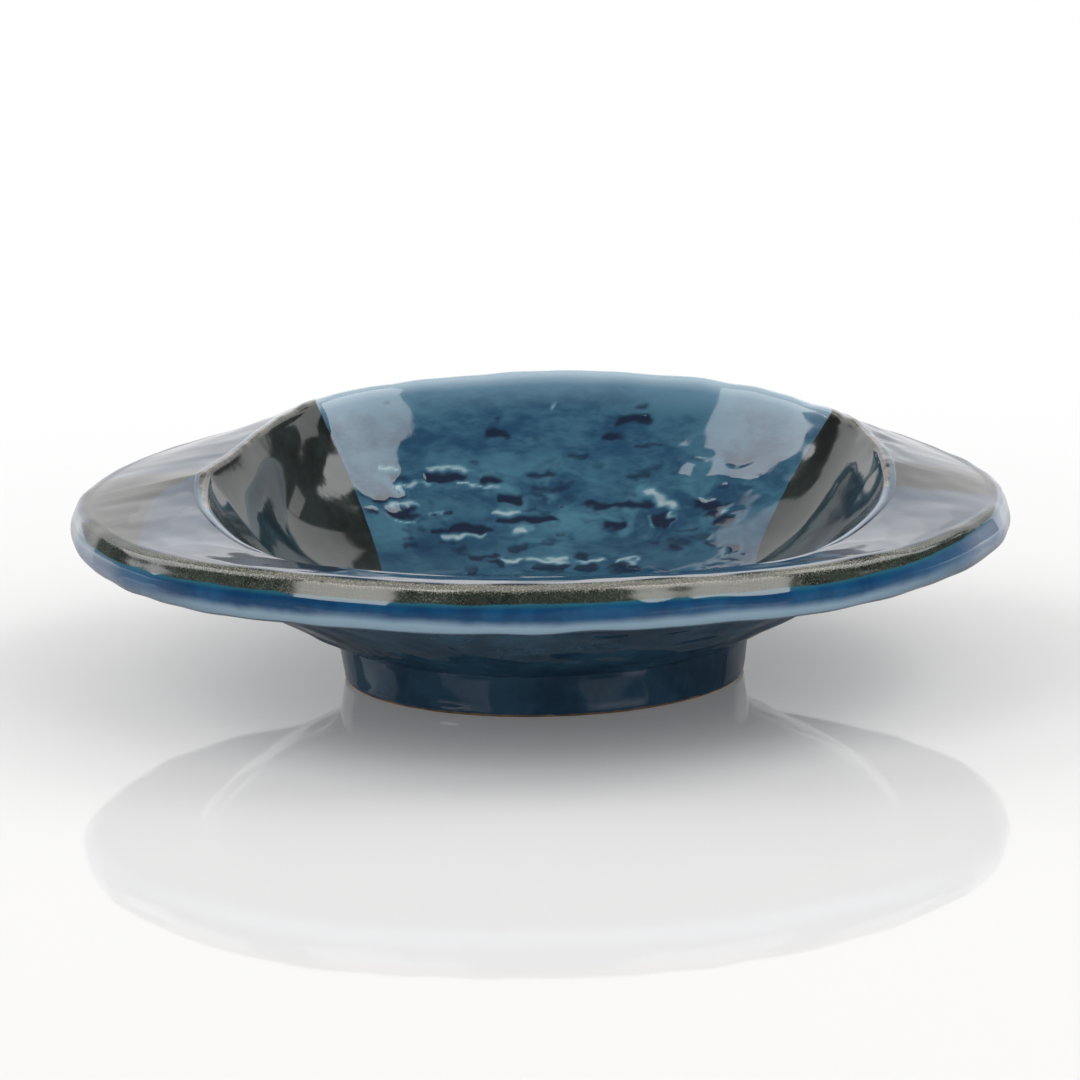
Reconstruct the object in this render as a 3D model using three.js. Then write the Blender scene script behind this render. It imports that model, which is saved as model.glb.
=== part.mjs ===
// A hand-formed ceramic dish: an oval well in a round shoulder, standing on a low foot ring.
// Millimetres, +Z up. The origin is the centre of the foot, on the surface that the dish stands on.
// The high side of the lip is towards +Y, and the low side towards -Y.
//
// The bowl and its shoulder are made as the clay is: each is first turned as a round form about Z,
// and then one pressing draws the round lip into an oval and raises its far side.
// Both pieces go through the same pressing, so they still fit along their joint.
import * as THREE from 'three';
import { mergeVertices } from 'three/addons/utils/BufferGeometryUtils.js';

// The round edge of the shoulder
const RIM_RADIUS = 90;
const RIM_BOTTOM = 26.2;
const RIM_THICKNESS = 9.8;
const RIM_ROUNDING = 3.6;
const RIM_UNDERCUT = 6;
const RIM_NOSE_DROP = 4;
const RIM_BACK_RISE = 6;
const RIM_RIGHT_DROP = 1.2;

// The flat of the shoulder, between the lip and the rounded edge
const SIDE_FLAT = 19;
const BACK_FLAT = 2.1;
const FRONT_FLAT = 10.1;

// The lip: its rise over the edge of the shoulder, at the sides, the back and the front.
// An oval with a power of 2 is an ellipse, and a higher power is squarer.
const LIP_THICKNESS = 2;
const LIP_SIDE_RISE = 5;
const LIP_BACK_RISE = 9;
const LIP_FRONT_RISE = -1.6;
const LIP_BACK_BOW = 0.2;
const LIP_OUTER_DROP = 0.5;
const LIP_INNER_DROP = 1.4;
const LIP_CROWN = 0.5;
const LIP_INNER_SETBACK = 1.1;
const LIP_OFFSET = 0.8;
const LIP_BACK_POWER = 2;
const LIP_FRONT_POWER = 2.1;

// The stretch of the lip that is pressed straight, at the back left: bearings in degrees from +X
const CHORD_START = 128;
const CHORD_END = 180;
const CHORD_DEPTH = 4.7;

// The well and the bowl's wall
const FLOOR_RADIUS = 30;
const FLOOR_DIP = 0.6;
const BASE_THICKNESS = 5.5;
const WALL_BEND_RADIUS = 51;
const WALL_BEND_RISE = 1.5;
const SEAM_INSET = 0.7;
const UNDERSIDE_BELLY = 0.8;

// The foot ring
const FOOT_RADIUS = 38.7;
const FOOT_HEIGHT = 8;
const FOOT_WALL = 7;
const FOOT_FLARE = 1;
const FOOT_ROUNDING = 1.2;

// The slip joint between two pieces
const JOINT_GAP = 0.3;

// Facets
const SEGMENTS = 72;
const CURVE_STEPS = 6;
const SEAT_STEPS = 3;

// Sizes that follow from the ones above
const RIM_TOP = RIM_BOTTOM + RIM_THICKNESS;
const RIDGE_RADIUS = RIM_RADIUS - RIM_ROUNDING;
const COLLAR = LIP_THICKNESS + JOINT_GAP;
const LIP_HALF_WIDTH = RIDGE_RADIUS - SIDE_FLAT - COLLAR;
const LIP_BACK_LENGTH = RIDGE_RADIUS - BACK_FLAT - COLLAR;
const LIP_FRONT_LENGTH = RIDGE_RADIUS - FRONT_FLAT - COLLAR;
const LIP_TURNED_RADIUS = Math.sqrt(LIP_HALF_WIDTH * LIP_BACK_LENGTH);
const LIP_TURNED_HEIGHT = RIM_TOP + LIP_SIDE_RISE;
const FLOOR_HEIGHT = FOOT_HEIGHT + BASE_THICKNESS;

// How far the straight stretch lies inside the oval. It meets the oval in a corner at each end.
function chordInsetAt(angle) {
  const bearing = THREE.MathUtils.radToDeg(angle);
  const along = THREE.MathUtils.mapLinear(bearing, CHORD_START, CHORD_END, 0, 1);
  return CHORD_DEPTH * Math.sin(Math.PI * THREE.MathUtils.clamp(along, 0, 1));
}

// The oval lip's distance from the axis, in the direction of an angle from +X.
// The well reaches further to the back than to the front, and lies a little to the right of the axis.
function lipRadiusAt(angle) {
  const length = angle > 0 ? LIP_BACK_LENGTH : LIP_FRONT_LENGTH;
  const power = angle > 0 ? LIP_BACK_POWER : LIP_FRONT_POWER;
  const across = Math.abs(Math.cos(angle) / LIP_HALF_WIDTH) ** power;
  const along = Math.abs(Math.sin(angle) / length) ** power;
  const oval = (across + along) ** (-1 / power);
  return oval + LIP_OFFSET * Math.cos(angle) - chordInsetAt(angle);
}

// How far the lip is pressed up or down from its turned height: nothing at the sides.
// It rises steadily to the back, and sinks to a level stretch at the front.
function lipShiftAt(angle) {
  const back = Math.max(Math.sin(angle), 0);
  const front = Math.max(-Math.sin(angle), 0);
  const raised = (1 + LIP_BACK_BOW) * back - LIP_BACK_BOW * back ** 2;
  const lowered = 1 - (1 - front) ** 2;
  return (LIP_BACK_RISE - LIP_SIDE_RISE) * raised + (LIP_FRONT_RISE - LIP_SIDE_RISE) * lowered;
}

// The edge of the shoulder rises round the back and sags a little at the right
function ridgeShiftAt(angle) {
  const back = Math.max(Math.sin(angle), 0);
  const right = Math.max(Math.cos(angle), 0);
  return RIM_BACK_RISE * back ** 2 - RIM_RIGHT_DROP * right ** 2;
}

// Where the pressing takes a turned radius. The foot and the rounded edge stay round,
// the lip becomes the oval and keeps its thickness, and the wall and the flat stretch between them.
function pressedRadius(radius, angle) {
  const lip = lipRadiusAt(angle);
  const collarEnd = LIP_TURNED_RADIUS + COLLAR;
  if (radius <= FOOT_RADIUS || radius >= RIDGE_RADIUS) return radius;
  if (radius <= LIP_TURNED_RADIUS) {
    return THREE.MathUtils.mapLinear(radius, FOOT_RADIUS, LIP_TURNED_RADIUS, FOOT_RADIUS, lip);
  }
  if (radius <= collarEnd) return lip + radius - LIP_TURNED_RADIUS;
  return THREE.MathUtils.mapLinear(radius, collarEnd, RIDGE_RADIUS, lip + COLLAR, RIDGE_RADIUS);
}

function pressedShift(radius, angle) {
  const outward = THREE.MathUtils.mapLinear(radius, LIP_TURNED_RADIUS, RIDGE_RADIUS, 0, 1);
  const share = THREE.MathUtils.clamp(outward, 0, 1);
  return THREE.MathUtils.lerp(lipShiftAt(angle), ridgeShiftAt(angle), share);
}

// One pressing for every piece. It acts fully at the lip and dies away downwards:
// the oval fades out at the foot, and the rise fades out at the underside of the edge.
function press(geometry) {
  const position = geometry.attributes.position;
  const point = new THREE.Vector3();
  for (let index = 0; index < position.count; index += 1) {
    point.fromBufferAttribute(position, index);
    const radius = Math.hypot(point.x, point.y);
    const angle = Math.atan2(point.y, point.x);
    const oval = THREE.MathUtils.smoothstep(point.z, FOOT_HEIGHT, LIP_TURNED_HEIGHT);
    const rise = THREE.MathUtils.smoothstep(point.z, RIM_BOTTOM, LIP_TURNED_HEIGHT);
    const newRadius = THREE.MathUtils.lerp(radius, pressedRadius(radius, angle), oval);
    const newHeight = point.z + rise * pressedShift(radius, angle);
    position.setXYZ(index, newRadius * Math.cos(angle), newRadius * Math.sin(angle), newHeight);
  }
  return geometry;
}

// A round form turned about Z from an outline of radii and heights
function turned(outline) {
  const geometry = new THREE.LatheGeometry(outline, SEGMENTS);
  geometry.rotateX(Math.PI / 2);
  geometry.deleteAttribute('normal');
  geometry.deleteAttribute('uv');
  return mergeVertices(geometry);
}

// The joint between bowl and shoulder: a steep cone, from the underside up to just below the lip.
// The bowl's face has no offset, and the shoulder's stands off by the joint's gap.
function seatPoints(offset) {
  const bottom = new THREE.Vector2(LIP_TURNED_RADIUS - SEAM_INSET + offset, RIM_BOTTOM);
  const top = new THREE.Vector2(
    LIP_TURNED_RADIUS + LIP_THICKNESS + offset,
    LIP_TURNED_HEIGHT - LIP_OUTER_DROP,
  );
  const points = [];
  for (let step = 0; step <= SEAT_STEPS; step += 1) {
    points.push(bottom.clone().lerp(top, step / SEAT_STEPS));
  }
  return points;
}

// The bowl's outline: under the base, out along the underside, up the joint, over the lip, into the well
function bowlOutline() {
  const seat = seatPoints(0);
  const underStart = new THREE.Vector2(FOOT_RADIUS + FOOT_FLARE, FOOT_HEIGHT);
  const underMiddle = underStart.clone().lerp(seat[0], 0.5);
  const lipInner = new THREE.Vector2(
    LIP_TURNED_RADIUS - LIP_INNER_SETBACK,
    LIP_TURNED_HEIGHT - LIP_INNER_DROP,
  );
  const outline = new THREE.Path();
  outline.moveTo(0, FOOT_HEIGHT);
  outline.lineTo(underStart.x, underStart.y);
  outline.quadraticCurveTo(underMiddle.x, underMiddle.y - UNDERSIDE_BELLY, seat[0].x, seat[0].y);
  seat.slice(1).forEach((point) => outline.lineTo(point.x, point.y));
  outline.quadraticCurveTo(
    LIP_TURNED_RADIUS,
    LIP_TURNED_HEIGHT + LIP_CROWN,
    lipInner.x,
    lipInner.y,
  );
  outline.quadraticCurveTo(
    WALL_BEND_RADIUS,
    FLOOR_HEIGHT + WALL_BEND_RISE,
    FLOOR_RADIUS,
    FLOOR_HEIGHT,
  );
  outline.lineTo(0, FLOOR_HEIGHT - FLOOR_DIP);
  return outline.getPoints(CURVE_STEPS);
}

// The shoulder's outline: out along its underside, round the edge, in over the flat, down the joint
function shoulderOutline() {
  const seat = seatPoints(JOINT_GAP).reverse();
  const last = seat[seat.length - 1];
  const noseHeight = RIM_TOP - RIM_NOSE_DROP;
  const outline = new THREE.Path();
  outline.moveTo(last.x, last.y);
  outline.lineTo(RIM_RADIUS - RIM_UNDERCUT, RIM_BOTTOM);
  outline.quadraticCurveTo(RIM_RADIUS, RIM_BOTTOM, RIM_RADIUS, noseHeight);
  outline.quadraticCurveTo(RIM_RADIUS, RIM_TOP, RIDGE_RADIUS, RIM_TOP);
  seat.forEach((point) => outline.lineTo(point.x, point.y));
  return outline.getPoints(CURVE_STEPS);
}

// The foot ring's outline, closed on itself: a short wall with a flat, softened underside
function footOutline() {
  const inner = FOOT_RADIUS - FOOT_WALL;
  const top = FOOT_HEIGHT - JOINT_GAP;
  const outline = new THREE.Path();
  outline.moveTo(inner, FOOT_ROUNDING);
  outline.quadraticCurveTo(inner, 0, inner + FOOT_ROUNDING, 0);
  outline.lineTo(FOOT_RADIUS - FOOT_ROUNDING, 0);
  outline.quadraticCurveTo(FOOT_RADIUS, 0, FOOT_RADIUS, FOOT_ROUNDING);
  outline.lineTo(FOOT_RADIUS + FOOT_FLARE, top);
  outline.lineTo(inner, top);
  outline.lineTo(inner, FOOT_ROUNDING);
  return outline.getPoints(CURVE_STEPS);
}

function piece(name, geometry, color, roughness) {
  const material = new THREE.MeshStandardMaterial({ color, roughness, metalness: 0 });
  const mesh = new THREE.Mesh(geometry, material);
  mesh.name = name;
  return mesh;
}

const dish = new THREE.Group();
dish.add(piece('well_bowl', press(turned(bowlOutline())), 0x436b82, 0.12));
dish.add(piece('rim_shoulder', press(turned(shoulderOutline())), 0x2b3d44, 0.15));
dish.add(piece('foot_ring', turned(footOutline()), 0x1d3550, 0.15));

export default dish;
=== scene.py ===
# %% [markdown]
# # A glazed stoneware dish
#
# This notebook dresses the CAD model of a small studio dish: an oval well in a round shoulder,
# on a low foot ring. The CAD model holds the true sizes in a few large facets. Here each of its
# three pieces is built again as a fine mesh, with the marks of the hand that made it, and coated
# with glossy glazes made only of shader nodes.
#
# The CAD model is loaded first. It stays where it is, and everything else is built around it.

# %% Load the CAD model
import math

import bpy
import numpy as np
from mathutils import Matrix, Vector


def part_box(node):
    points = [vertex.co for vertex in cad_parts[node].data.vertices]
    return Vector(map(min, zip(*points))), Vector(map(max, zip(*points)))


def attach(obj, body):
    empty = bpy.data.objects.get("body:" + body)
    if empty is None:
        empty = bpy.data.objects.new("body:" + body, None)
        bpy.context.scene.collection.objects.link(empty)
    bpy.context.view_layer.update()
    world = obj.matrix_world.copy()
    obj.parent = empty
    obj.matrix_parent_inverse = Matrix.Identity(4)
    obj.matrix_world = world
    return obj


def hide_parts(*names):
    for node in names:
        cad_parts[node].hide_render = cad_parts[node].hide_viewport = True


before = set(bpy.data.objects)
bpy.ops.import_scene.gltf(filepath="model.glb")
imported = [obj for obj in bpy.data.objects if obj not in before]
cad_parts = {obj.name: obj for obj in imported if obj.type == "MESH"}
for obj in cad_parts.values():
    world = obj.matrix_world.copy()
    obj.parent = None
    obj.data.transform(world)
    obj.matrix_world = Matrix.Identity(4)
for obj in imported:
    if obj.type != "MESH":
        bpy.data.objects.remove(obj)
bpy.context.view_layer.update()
MM = 0.001
print("CAD nodes:", sorted(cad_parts))

# %% [markdown]
# ## The sizes of the clay
#
# The dish is first thrown round, and then its lip is pressed into an oval. These are the same sizes,
# in millimetres, that the CAD model was made with, so the fine meshes lie on the CAD solids.
# The outer radius is read from the CAD model, as a test that both speak of the same dish.

# %% Sizes of the turned dish, in millimetres
RIM_RADIUS, RIM_BOTTOM, RIM_TOP = 90.0, 26.2, 36.0
RIM_ROUNDING, RIM_UNDERCUT, RIM_NOSE_DROP = 3.6, 6.0, 4.0
RIM_BACK_RISE, RIM_RIGHT_DROP = 6.0, 1.2
LIP_THICKNESS, LIP_OUTER_DROP, LIP_INNER_DROP = 2.0, 0.5, 1.4
LIP_SIDE_RISE, LIP_BACK_RISE, LIP_FRONT_RISE, LIP_BACK_BOW = 5.0, 9.0, -1.6, 0.2
LIP_CROWN, LIP_INNER_SETBACK, LIP_OFFSET = 0.5, 1.1, 0.8
LIP_HALF_WIDTH, LIP_BACK_LENGTH, LIP_FRONT_LENGTH = 65.1, 82.0, 74.0
LIP_BACK_POWER, LIP_FRONT_POWER = 2.0, 2.1
CHORD_START, CHORD_END, CHORD_DEPTH = math.radians(128), math.radians(180), 4.7
FLOOR_RADIUS, FLOOR_HEIGHT, FLOOR_DIP = 30.0, 13.5, 0.6
WALL_BEND_RADIUS, WALL_BEND_HEIGHT = 51.0, 15.0
SEAM_INSET, UNDERSIDE_BELLY, JOINT_GAP = 0.7, 0.8, 0.3
FOOT_RADIUS, FOOT_HEIGHT, FOOT_WALL = 38.7, 8.0, 7.0
FOOT_FLARE, FOOT_ROUNDING = 1.0, 1.2

RIDGE_RADIUS = RIM_RADIUS - RIM_ROUNDING
COLLAR = LIP_THICKNESS + JOINT_GAP
LIP_RADIUS = math.sqrt(LIP_HALF_WIDTH * LIP_BACK_LENGTH)
LIP_HEIGHT = RIM_TOP + LIP_SIDE_RISE

cad_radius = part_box("rim_shoulder")[1].x / MM
assert abs(cad_radius - RIM_RADIUS) < 0.5, "the CAD model has another size"
print(f"rim radius {cad_radius:.1f} mm in the CAD model")

# %% [markdown]
# ## The pressing
#
# A potter presses a round lip into an oval while the clay is soft. The wall and the shoulder follow,
# and the foot and the outer edge stay round. One function does this to every point of the turned dish,
# so pieces that touch before the pressing still touch after it.

# %% Press a turned point into the oval dish


def ease(value, low, high):
    """0 below low, 1 above high, and a soft step between them."""
    share = np.clip((value - low) / (high - low), 0, 1)
    return share * share * (3 - 2 * share)


def lip_radius(angle):
    length = np.where(np.sin(angle) > 0, LIP_BACK_LENGTH, LIP_FRONT_LENGTH)
    power = np.where(np.sin(angle) > 0, LIP_BACK_POWER, LIP_FRONT_POWER)
    across, along = np.abs(np.cos(angle) / LIP_HALF_WIDTH), np.abs(np.sin(angle) / length)
    oval = (across**power + along**power) ** (-1 / power)
    along_chord = np.clip((angle - CHORD_START) / (CHORD_END - CHORD_START), 0, 1)
    return oval + LIP_OFFSET * np.cos(angle) - CHORD_DEPTH * np.sin(math.pi * along_chord)


def lip_shift(angle):
    back, front = np.maximum(np.sin(angle), 0), np.maximum(-np.sin(angle), 0)
    raised = (1 + LIP_BACK_BOW) * back - LIP_BACK_BOW * back**2
    lowered = 1 - (1 - front) ** 2
    return (LIP_BACK_RISE - LIP_SIDE_RISE) * raised + (LIP_FRONT_RISE - LIP_SIDE_RISE) * lowered


def ridge_shift(angle):
    back, right = np.maximum(np.sin(angle), 0), np.maximum(np.cos(angle), 0)
    return RIM_BACK_RISE * back**2 - RIM_RIGHT_DROP * right**2


def press(radius, height, angle):
    """Points, in millimetres, of the pressed dish for points of the turned one."""
    lip, collar_end = lip_radius(angle), LIP_RADIUS + COLLAR
    wall = FOOT_RADIUS + (radius - FOOT_RADIUS) * (lip - FOOT_RADIUS) / (LIP_RADIUS - FOOT_RADIUS)
    collar = lip + radius - LIP_RADIUS
    flat_share = (radius - collar_end) / (RIDGE_RADIUS - collar_end)
    flat = lip + COLLAR + flat_share * (RIDGE_RADIUS - lip - COLLAR)
    pressed = np.select(
        [radius <= FOOT_RADIUS, radius <= LIP_RADIUS, radius <= collar_end, radius < RIDGE_RADIUS],
        [radius, wall, collar, flat],
        radius,
    )
    outward = np.clip((radius - LIP_RADIUS) / (RIDGE_RADIUS - LIP_RADIUS), 0, 1)
    shift = lip_shift(angle) * (1 - outward) + ridge_shift(angle) * outward
    new_radius = radius + (pressed - radius) * ease(height, FOOT_HEIGHT, LIP_HEIGHT)
    new_height = height + shift * ease(height, RIM_BOTTOM, LIP_HEIGHT)
    return np.stack([new_radius * np.cos(angle), new_radius * np.sin(angle), new_height], -1)


print(f"lip {2 * LIP_HALF_WIDTH:.0f} by {LIP_BACK_LENGTH + LIP_FRONT_LENGTH:.0f} mm across")

# %% [markdown]
# ## Outlines
#
# A turned form is an outline swept round an axis. Each outline is a row of straight and bent stretches,
# and each stretch has as many steps as its relief needs: many on the wall of the well, where the marks are,
# and few where another piece hides it.

# %% Outlines of the three pieces
POLE_RADIUS, SHOULDER_OVERLAP, FOOT_OVERLAP = 0.4, 0.3, 0.2
EDGE_STEPS, FLAT_STEPS = 20, 44


def straight(start, end, steps):
    return np.linspace(start, end, steps, endpoint=False)


def bend(start, pull, end, steps):
    """A curve from start to end that leaves and arrives along the lines to pull."""
    t = np.linspace(0, 1, steps, endpoint=False)[:, None]
    return (1 - t) ** 2 * np.array(start) + 2 * t * (1 - t) * np.array(pull) + t**2 * np.array(end)


def bowl_outline():
    seat_bottom = (LIP_RADIUS - SEAM_INSET, RIM_BOTTOM)
    seat_top = (LIP_RADIUS + LIP_THICKNESS, LIP_HEIGHT - LIP_OUTER_DROP)
    lip_inner = (LIP_RADIUS - LIP_INNER_SETBACK, LIP_HEIGHT - LIP_INNER_DROP)
    under = (FOOT_RADIUS + FOOT_FLARE, FOOT_HEIGHT)
    belly = ((under[0] + seat_bottom[0]) / 2, (under[1] + seat_bottom[1]) / 2 - UNDERSIDE_BELLY)
    floor_edge = (FLOOR_RADIUS, FLOOR_HEIGHT)
    return {
        "base": straight((POLE_RADIUS, FOOT_HEIGHT), under, 12),
        "underside": bend(under, belly, seat_bottom, 40),
        "seat": straight(seat_bottom, seat_top, 3),
        "lip": bend(seat_top, (LIP_RADIUS, LIP_HEIGHT + LIP_CROWN), lip_inner, 18),
        "wall": bend(lip_inner, (WALL_BEND_RADIUS, WALL_BEND_HEIGHT), floor_edge, 96),
        "floor": straight(floor_edge, (POLE_RADIUS, FLOOR_HEIGHT - FLOOR_DIP), 27),
    }


def shoulder_outline():
    seat_bottom = (LIP_RADIUS - SEAM_INSET - SHOULDER_OVERLAP, RIM_BOTTOM)
    seat_top = (LIP_RADIUS + LIP_THICKNESS - SHOULDER_OVERLAP, LIP_HEIGHT - LIP_OUTER_DROP)
    under_end = (RIM_RADIUS - RIM_UNDERCUT, RIM_BOTTOM)
    nose = (RIM_RADIUS, RIM_TOP - RIM_NOSE_DROP)
    ridge = (RIDGE_RADIUS, RIM_TOP)
    return {
        "under": straight(seat_bottom, under_end, 14),
        "lower_edge": bend(under_end, (RIM_RADIUS, RIM_BOTTOM), nose, EDGE_STEPS),
        "upper_edge": bend(nose, (RIM_RADIUS, RIM_TOP), ridge, EDGE_STEPS),
        "flat": straight(ridge, seat_top, FLAT_STEPS),
        "seat": straight(seat_top, seat_bottom, 4),
    }


def foot_outline():
    inner, top = FOOT_RADIUS - FOOT_WALL, FOOT_HEIGHT + FOOT_OVERLAP
    outer_top = (FOOT_RADIUS + FOOT_FLARE, top)
    return {
        "inner_round": bend((inner, FOOT_ROUNDING), (inner, 0), (inner + FOOT_ROUNDING, 0), 6),
        "face": straight((inner + FOOT_ROUNDING, 0), (FOOT_RADIUS - FOOT_ROUNDING, 0), 8),
        "outer_round": bend((FOOT_RADIUS - FOOT_ROUNDING, 0), (FOOT_RADIUS, 0), (FOOT_RADIUS, FOOT_ROUNDING), 8),
        "outside": straight((FOOT_RADIUS, FOOT_ROUNDING), outer_top, 24),
        "top": straight(outer_top, (inner, top), 6),
        "inside": straight((inner, top), (inner, FOOT_ROUNDING), 12),
    }


def swept(stretches, columns, crowd=0.0):
    """The pressed points, as rows along the outline and columns round the axis, and each stretch's rows.

    The columns crowd towards the back, where the marks of the well show.
    """
    outline = np.concatenate(list(stretches.values()))
    ends = np.cumsum([len(points) for points in stretches.values()])
    rows = {name: slice(end - len(points), end) for (name, points), end in zip(stretches.items(), ends)}
    angle = np.linspace(0, 2 * math.pi, columns, endpoint=False)[None, :]
    angle = angle + crowd * np.cos(angle)
    angle = (angle + math.pi) % (2 * math.pi) - math.pi
    return press(outline[:, :1], outline[:, 1:], angle), rows


bowl, bowl_rows = swept(bowl_outline(), 500, crowd=0.42)
shoulder, shoulder_rows = swept(shoulder_outline(), 720)
foot, foot_rows = swept(foot_outline(), 360)
print("points:", bowl.shape, shoulder.shape, foot.shape)

# %% [markdown]
# ## The unevenness of the hand
#
# Nothing on a hand-made dish is quite true. A field of slow random waves, always the same because its
# random numbers are seeded, moves the clay by fractions of a millimetre. The waves fill space, so pieces
# that touch move together. Displacing real points, and not only the shading, also bends the outline.

# %% Waves in the clay
SIDE_SINK, SINK_LOST, FRONT_DROP = 0.75, 0.55, 0.6
RIGHT_LIP_START, RIGHT_LIP_END = 58, 62


def waves(points, length, seed, count=28):
    """A smooth random field of about -1 to 1 over points, whose bumps are about length apart."""
    random = np.random.default_rng(seed)
    ways = random.normal(size=(count, 3))
    ways *= 2 * math.pi / length * random.uniform(0.7, 1.4, (count, 1)) / np.linalg.norm(ways, axis=1)[:, None]
    phases = random.uniform(0, 2 * math.pi, count)
    total = np.zeros(points.shape[:-1])
    for way, phase in zip(ways, phases):
        total += np.sin(points @ way + phase)
    return total * math.sqrt(2 / count) / 1.5


def outward(points, wrap):
    """Unit normals of a grid of points that is closed round the axis, and along the outline if it wraps."""
    along_columns = np.roll(points, -1, 1) - np.roll(points, 1, 1)
    along_rows = np.roll(points, -1, 0) - np.roll(points, 1, 0)
    if not wrap:
        along_rows[0], along_rows[-1] = points[1] - points[0], points[-1] - points[-2]
    normals = np.cross(along_columns, along_rows)
    return normals / np.linalg.norm(normals, axis=-1, keepdims=True)


def handled(points):
    """The same points with the slow lean and wander of hand-pressed clay, and a rough lip on the right."""
    height = points[..., 2]
    above_foot = ease(points[..., 2:], FOOT_HEIGHT, RIM_BOTTOM)
    lift = 0.30 * waves(points, 70, seed=11) + 0.10 * waves(points, 26, seed=14)
    lift += 0.14 * waves(points, 13, seed=15) * ease(height, RIM_TOP + 1, LIP_HEIGHT + 1)
    right_lip = ease(points[..., 0], RIGHT_LIP_START, RIGHT_LIP_END) * ease(height, RIM_TOP + 2.5, RIM_TOP + 5.5)
    lift += 0.26 * waves(points, 8, seed=16) * right_lip
    flare = 0.35 * waves(points, 50, seed=12)
    radius = np.hypot(points[..., 0], points[..., 1])
    side = points[..., :2] / np.maximum(radius, 1)[..., None]
    moved = np.concatenate([side * flare[..., None], lift[..., None]], -1)
    return points + above_foot * moved


def sunk(points):
    """The same points with the lip a little lower at the front, and most at each side of it."""
    angle = np.arctan2(points[..., 1], points[..., 0])
    radius, lip = np.hypot(points[..., 0], points[..., 1]), lip_radius(angle) + COLLAR
    near_lip = np.clip((RIDGE_RADIUS - radius) / (RIDGE_RADIUS - lip), 0, 1)
    drop = ease(-np.sin(angle), 0.34, 0.66) * (SIDE_SINK - SINK_LOST * ease(-np.sin(angle), 0.78, 0.98))
    points = points.copy()
    points[..., 2] -= drop * near_lip * ease(points[..., 2], RIM_BOTTOM, RIM_TOP - 2)
    return points


bowl, shoulder = handled(sunk(bowl)), handled(sunk(shoulder))
from_front = np.abs(np.degrees(np.arctan2(bowl[..., 1], bowl[..., 0])) + 90)
bowl[..., 2] -= FRONT_DROP * ease(bowl[..., 2], RIM_TOP - 4, RIM_TOP - 2) * (1 - ease(from_front, 36, 50))
lip_tops = bowl[bowl_rows["lip"]][..., 2].max(0)
print(f"the lip's top wanders from {lip_tops.min():.1f} mm to {lip_tops.max():.1f} mm")

# %% [markdown]
# ## Where the dark glaze lies in the well
#
# Two patches of a darker glaze run down the sides of the well, with crisp, straight borders. A mask per point
# would blur them, so each point keeps its signed distance to the border instead, in millimetres, and the
# shader cuts that distance crisply between the points.

# %% Distances to the borders of the dark patches
# Each border: its way out from the middle at the table, its lean outwards on the way up, and its front end
LEFT_OUT, LEFT_LEAN, LEFT_FRONT = 24.5, 0.476, -20
RIGHT_OUT, RIGHT_LEAN, RIGHT_FRONT = 30.6, 0.646, -16
bowl_x, bowl_y, bowl_z = np.moveaxis(bowl, -1, 0)
left_patch = np.minimum(-(LEFT_OUT + LEFT_LEAN * bowl_z) - bowl_x, bowl_y - LEFT_FRONT)
right_patch = np.minimum(bowl_x - (RIGHT_OUT + RIGHT_LEAN * bowl_z), bowl_y - RIGHT_FRONT)
patch = np.maximum(left_patch, right_patch)
print(f"{(patch > 0).mean():.0%} of the bowl's points lie in a dark patch")
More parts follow.
